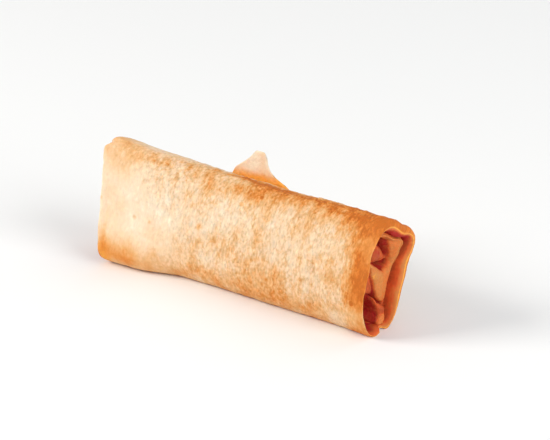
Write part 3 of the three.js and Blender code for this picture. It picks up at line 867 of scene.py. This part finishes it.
# Stains run round the roll, so they are read from coordinates that are squeezed that way.
drawn = add_node(tree, VECTOR_MATH, (around, (1, 0.35, 0.35)), operation="MULTIPLY")
patches = add_node(tree, NOISE, {"Vector": spot, "Scale": per_metre(11)})
stains = add_node(tree, NOISE, {"Vector": drawn, "Scale": per_metre(6.5)})
mottles = add_node(tree, NOISE, {"Vector": around, "Scale": per_metre(3.4), "Detail": 3.0, "Roughness": 0.6})
specks = add_node(tree, NOISE, {"Vector": around, "Scale": per_metre(0.8), "Roughness": 0.6})
bubbles = add_node(tree, CELLS, {"Vector": spot, "Scale": per_metre(1.6)})
pits = add_node(tree, CELLS, {"Vector": spot, "Scale": per_metre(9)})
# Veins are the lines on which a noise passes through its middle.
ridged = add_node(tree, NOISE, {"Vector": around, "Scale": per_metre(3)})
ridged = add_node(tree, MATH, (ridged, 0.5), operation="SUBTRACT")
ridged = add_node(tree, MATH, (ridged,), operation="ABSOLUTE")
veins = add_node(tree, RANGE, {"Value": ridged, "From Min": 0.035, "From Max": 0.0})

# %% How brown the crust is
# Each pattern adds its strength times its distance from its middle, and most where the crust is rough.
# All of them together never go past DARKEST.
DARKEST = 0.93
tone = 0.0
for pattern, middle, strength in (
    (stains, 0.5, 0.38),
    (mottles, 0.5, 0.62),
    (specks, 0.5, 0.5),
    (bubbles, 0.45, 0.1),
):
    evened = add_node(tree, MATH, (pattern, middle), operation="SUBTRACT")
    tone = add_node(tree, MATH, (evened, strength, tone), operation="MULTIPLY_ADD")
tone = add_node(tree, MATH, (tone, rough), operation="MULTIPLY")
vein_strength = add_node(tree, RANGE, {"Value": rough, "From Min": 0.5, "From Max": 1.4, "To Max": 0.2})
tone = add_node(tree, MATH, (veins, vein_strength, tone), operation="MULTIPLY_ADD")
evened = add_node(tree, MATH, (patches, 0.5), operation="SUBTRACT")
tone = add_node(tree, MATH, (evened, 0.6, tone), operation="MULTIPLY_ADD")
# The browning value also holds the painted shadow line under the loose corner.
browned_and_shaded = add_node(tree, READ, out="Fac", attribute_name="browning_and_shade")
tone = add_node(tree, MATH, (tone, browned_and_shaded), operation="ADD")
# A few pits are scorched, and the domes of the blisters are paler.
scorched = add_node(tree, RANGE, {"Value": pits, "From Min": 0.12, "From Max": 0.05, "To Max": 0.25})
tone = add_node(tree, MATH, (tone, scorched), operation="ADD")
lifted = add_node(tree, READ, out="Fac", attribute_name="blister")
tone = add_node(tree, MATH, (lifted, -0.06, tone), operation="MULTIPLY_ADD")
tone = add_node(tree, MATH, (tone, DARKEST), operation="MINIMUM")

# %% Colour of crust, fat and painted shade
# This value holds both fat in the pastry and painted shade deep in the mouths and pockets.
soaked_and_shaded = add_node(tree, READ, out="Fac", attribute_name="soaked_and_shaded")
pooled = {"Value": mottles, "From Min": 0.3, "From Max": 0.7, "To Min": 0.7, "To Max": 1.3}
pooled = add_node(tree, RANGE, pooled)
oiled_and_shaded = add_node(tree, MATH, (soaked_and_shaded, pooled), operation="MULTIPLY", use_clamp=True)
shades = []
for factor, stops in ((tone, CRUST), (oiled_and_shaded, SOAKED_AND_SHADE)):
    shades.append(add_node(tree, "ShaderNodeValToRGB", (factor,)))
    band = shades[-1].node.color_ramp.elements
    while len(band) < len(stops):
        band.new(0.5)
    for element, (position, colour) in zip(band, stops):
        element.position = position
        element.color = linear(colour)
within = add_node(tree, RANGE, {"Value": oiled_and_shaded, "From Max": 0.12})
# Sockets 6 and 7 of a Mix node are its two colours, and its third output is the mixed one.
mixed = add_node(tree, "ShaderNodeMix", {0: within, 6: shades[0], 7: shades[1]}, out=2, data_type="RGBA")
# The specks also darken red most and blue least, because the colours above already lose blue first.
evened = add_node(tree, MATH, (specks, 0.5), operation="SUBTRACT")
flecks = add_node(tree, MATH, (evened, rough), operation="MULTIPLY")
flecks = add_node(tree, VECTOR_MATH, (flecks, (-0.75, -0.5, -0.3), (1, 1, 1)), operation="MULTIPLY_ADD")
mixed = add_node(tree, VECTOR_MATH, (mixed, flecks), operation="MULTIPLY")

# %% Grain and shader
# Only the finest grain is bump: specks, and the rims of bubbles under 2 mm.
grain = add_node(tree, MATH, (bubbles, -0.3, specks), operation="MULTIPLY_ADD")
grain = add_node(tree, MATH, (grain, rough), operation="MULTIPLY")
normal = add_node(tree, "ShaderNodeBump", {"Strength": 1.0, "Distance": 0.9 * MM, "Height": grain})
crust_look = {
    "Base Color": mixed,
    "Roughness": 0.55,
    "Specular IOR Level": 0.12,
    "Normal": normal,
    "Subsurface Weight": 0.2,
    "Subsurface Radius": (1.0, 0.45, 0.2),
    "Subsurface Scale": 0.5 * MM,
}
shader = add_node(tree, "ShaderNodeBsdfPrincipled", crust_look)
add_node(tree, "ShaderNodeOutputMaterial", (shader,))
print("nodes of the pastry:", len(tree.nodes))

# %% [markdown]
# ## Blisters
# Steam lifts the dough into blisters while it fries. They repeat all over the sheet by one rule, which
# makes them a job for Geometry Nodes: one tree moves every point out along its normal, by soft swells, by
# crinkles that run round the roll, and by round domes where a cell pattern has its centres. Displacement in
# the material could do it too, but then the mesh itself would stay smooth.

# %% Inputs of the tree
SIZES = {
    "Swell Width": 15 * MM,
    "Swell Height": 0.25 * MM,
    "Crinkle Width": 2.8 * MM,
    "Crinkle Height": 0.34 * MM,
    "Blister Width": 2.4 * MM,
    "Blister Height": 0.3 * MM,
    "Seed": 3.0,
}
relief = bpy.data.node_groups.new("blistered_relief", "GeometryNodeTree")
relief.interface.new_socket("Geometry", in_out="INPUT", socket_type="NodeSocketGeometry")
for label in SIZES:
    relief.interface.new_socket(label, in_out="INPUT", socket_type="NodeSocketFloat")
relief.interface.new_socket("Material", in_out="INPUT", socket_type="NodeSocketMaterial")
relief.interface.new_socket("Geometry", in_out="OUTPUT", socket_type="NodeSocketGeometry")
given = add_node(relief, "NodeGroupInput").node.outputs
here = add_node(relief, "GeometryNodeInputPosition")
outward = add_node(relief, "GeometryNodeInputNormal")
amount = add_node(relief, "GeometryNodeInputNamedAttribute", ("relief",), data_type="FLOAT")
on_sheet = add_node(relief, "GeometryNodeInputNamedAttribute", ("wrapped",), data_type="FLOAT_VECTOR")

# %% Swells and crinkles
lifts = []
for vector, what, detail in ((here, "Swell", 1.0), (on_sheet, "Crinkle", 2.0)):
    scale = add_node(relief, MATH, (1.0, given[what + " Width"]), operation="DIVIDE")
    noise = {"Vector": vector, "W": given["Seed"], "Scale": scale, "Detail": detail}
    noise = add_node(relief, NOISE, noise, noise_dimensions="4D")
    centred = add_node(relief, RANGE, {"Value": noise, "From Min": 0.25, "From Max": 0.75, "To Min": -1.0})
    lifts.append(add_node(relief, MATH, (centred, given[what + " Height"]), operation="MULTIPLY"))
lift = add_node(relief, MATH, lifts, operation="ADD")

# %% Round blisters
# Each cell of the pattern has a random colour. Its red gives the width of the cell's dome, and its green the
# height.
scale = add_node(relief, MATH, (1.0, given["Blister Width"]), operation="DIVIDE")
cells = add_node(relief, CELLS, {"Vector": here, "Scale": scale}).node.outputs
chance = add_node(relief, "FunctionNodeSeparateColor", (cells["Color"],)).node.outputs
radius = add_node(relief, RANGE, {"Value": chance["Red"], "To Min": 0.25, "To Max": 0.55})
dome = add_node(relief, MATH, (cells["Distance"], radius), operation="DIVIDE")
dome = add_node(relief, MATH, (dome, 2.0), operation="POWER")
dome = add_node(relief, MATH, (1.0, dome), operation="SUBTRACT", use_clamp=True)
raised = add_node(relief, RANGE, {"Value": chance["Green"], "From Min": 0.35})
dome = add_node(relief, MATH, (dome, raised), operation="MULTIPLY")
lift = add_node(relief, MATH, (dome, given["Blister Height"], lift), operation="MULTIPLY_ADD")

# %% Moving the points
# The domes are kept as an attribute for the material. No point goes below the floor, so the base stays flat.
lift = add_node(relief, MATH, (lift, amount), operation="MULTIPLY")
offset = add_node(relief, VECTOR_MATH, {"Vector": outward, "Scale": lift}, operation="SCALE")
kept = {"Geometry": given["Geometry"], "Name": "blister", "Value": dome}
kept = add_node(relief, "GeometryNodeStoreNamedAttribute", kept)
moved = add_node(relief, "GeometryNodeSetPosition", {"Geometry": kept, "Offset": offset})
parts = add_node(relief, "ShaderNodeSeparateXYZ", (here,)).node.outputs
above = add_node(relief, MATH, (parts["Z"], 0.0), operation="MAXIMUM")
grounded = add_node(relief, "ShaderNodeCombineXYZ", (parts["X"], parts["Y"], above))
moved = add_node(relief, "GeometryNodeSetPosition", {"Geometry": moved, "Position": grounded})
realized = add_node(relief, "GeometryNodeRealizeInstances", (moved,))
finished = {"Geometry": realized, "Material": given["Material"]}
finished = add_node(relief, "GeometryNodeSetMaterial", finished)
add_node(relief, "NodeGroupOutput", (finished,))


# %% Lifting the blisters
def apply_nodes(piece, tree, values):
    """Runs a node tree on a piece and keeps the result as its plain mesh."""
    modifier = piece.modifiers.new(tree.name, "NODES")
    modifier.node_group = tree
    for item in tree.interface.items_tree:
        if item.in_out == "INPUT" and item.name in values:
            modifier[item.identifier] = values[item.name]
    graph = bpy.context.evaluated_depsgraph_get()
    evaluated = piece.evaluated_get(graph)
    baked = bpy.data.meshes.new_from_object(evaluated, preserve_all_data_layers=True, depsgraph=graph)
    piece.modifiers.remove(modifier)
    piece.data = baked


for made in (rolled_pastry, tucked_right, tucked_left, loose_lap):
    apply_nodes(made, relief, {**SIZES, "Material": pastry})
    made.data.shade_smooth()
    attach(made, "root")
    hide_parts("spring_roll")
    print(made.name, "points:", len(made.data.vertices))

# %% [markdown]
# ## Floor, light and camera
# A plain pale floor and large soft lamps show the surface without hard shadows. An environment image could
# light it too, but three lamps and a faint even sky are easier to balance: the largest share comes from the
# left in front, a broad one fills in from the right, and a weak one from behind lights the back.

# %% Floor
FLOOR_HALF = 2.0
corners = [(x * FLOOR_HALF, y * FLOOR_HALF, 0) for x, y in ((-1, -1), (1, -1), (1, 1), (-1, 1))]
floor_mesh = bpy.data.meshes.new("floor")
floor_mesh.from_pydata(corners, [], [(0, 1, 2, 3)])
floor = bpy.data.objects.new("floor", floor_mesh)
bpy.context.scene.collection.objects.link(floor)
board = bpy.data.materials.new("matt_white_board")
board.use_nodes = True
board_inputs = board.node_tree.nodes["Principled BSDF"].inputs
board_inputs["Base Color"].default_value = linear("f6f6f4")
board_inputs["Roughness"].default_value = 0.8
floor_mesh.materials.append(board)

# %% Lamps
ROLL_MIDDLE = Vector((0, 0, 0.02))
LAMP_DISTANCE = 1.2
# Degrees round from the front and up, side of the square in m, power in W, and colour.
LAMPS = {
    "key_softbox": (-50, 31, 0.5, 10.0, "fffdfa"),
    "fill_softbox": (82, 28, 0.8, 9.0, "ffffff"),
    "back_softbox": (165, 50, 0.9, 3.0, "ffffff"),
}


def direction(azimuth, elevation):
    """Where azimuth is 0 straight in front and 90 to the right, both in degrees."""
    a, e = math.radians(azimuth), math.radians(elevation)
    return Vector((math.sin(a) * math.cos(e), -math.cos(a) * math.cos(e), math.sin(e)))


def looking_back(name, data, middle, towards, distance):
    """An object that stands off from a middle point and looks back at it."""
    made = bpy.data.objects.new(name, data)
    made.location = middle + towards * distance
    made.rotation_euler = towards.to_track_quat("Z", "Y").to_euler()
    bpy.context.scene.collection.objects.link(made)
    return made


for name, (azimuth, elevation, side, watts, colour) in LAMPS.items():
    lamp = bpy.data.lights.new(name, "AREA")
    lamp.shape = "SQUARE"
    lamp.size = side
    lamp.energy = watts
    lamp.color = linear(colour)[:3]
    looking_back(name, lamp, ROLL_MIDDLE, direction(azimuth, elevation), LAMP_DISTANCE)
world = bpy.data.worlds.new("studio_air")
world.use_nodes = True
world_inputs = world.node_tree.nodes["Background"].inputs
world_inputs["Color"].default_value = linear("f4f6fb")
world_inputs["Strength"].default_value = 0.4
bpy.context.scene.world = world
bpy.context.scene.view_settings.view_transform = "Standard"
print("lamps:", ", ".join(LAMPS))

# %% Camera
CAMERA_AZIMUTH = 35.4
CAMERA_ELEVATION = 25
CAMERA_DISTANCE = 0.9
CAMERA_TARGET = Vector((0.001072, 0.010003, 0.021508))
camera_data = bpy.data.cameras.new("camera")
camera_data.lens = 174.8
camera_data.sensor_width = 36
towards_camera = direction(CAMERA_AZIMUTH, CAMERA_ELEVATION)
camera = looking_back("camera", camera_data, CAMERA_TARGET, towards_camera, CAMERA_DISTANCE)
bpy.context.scene.camera = camera
print("camera stands at", [round(part, 3) for part in camera.location])
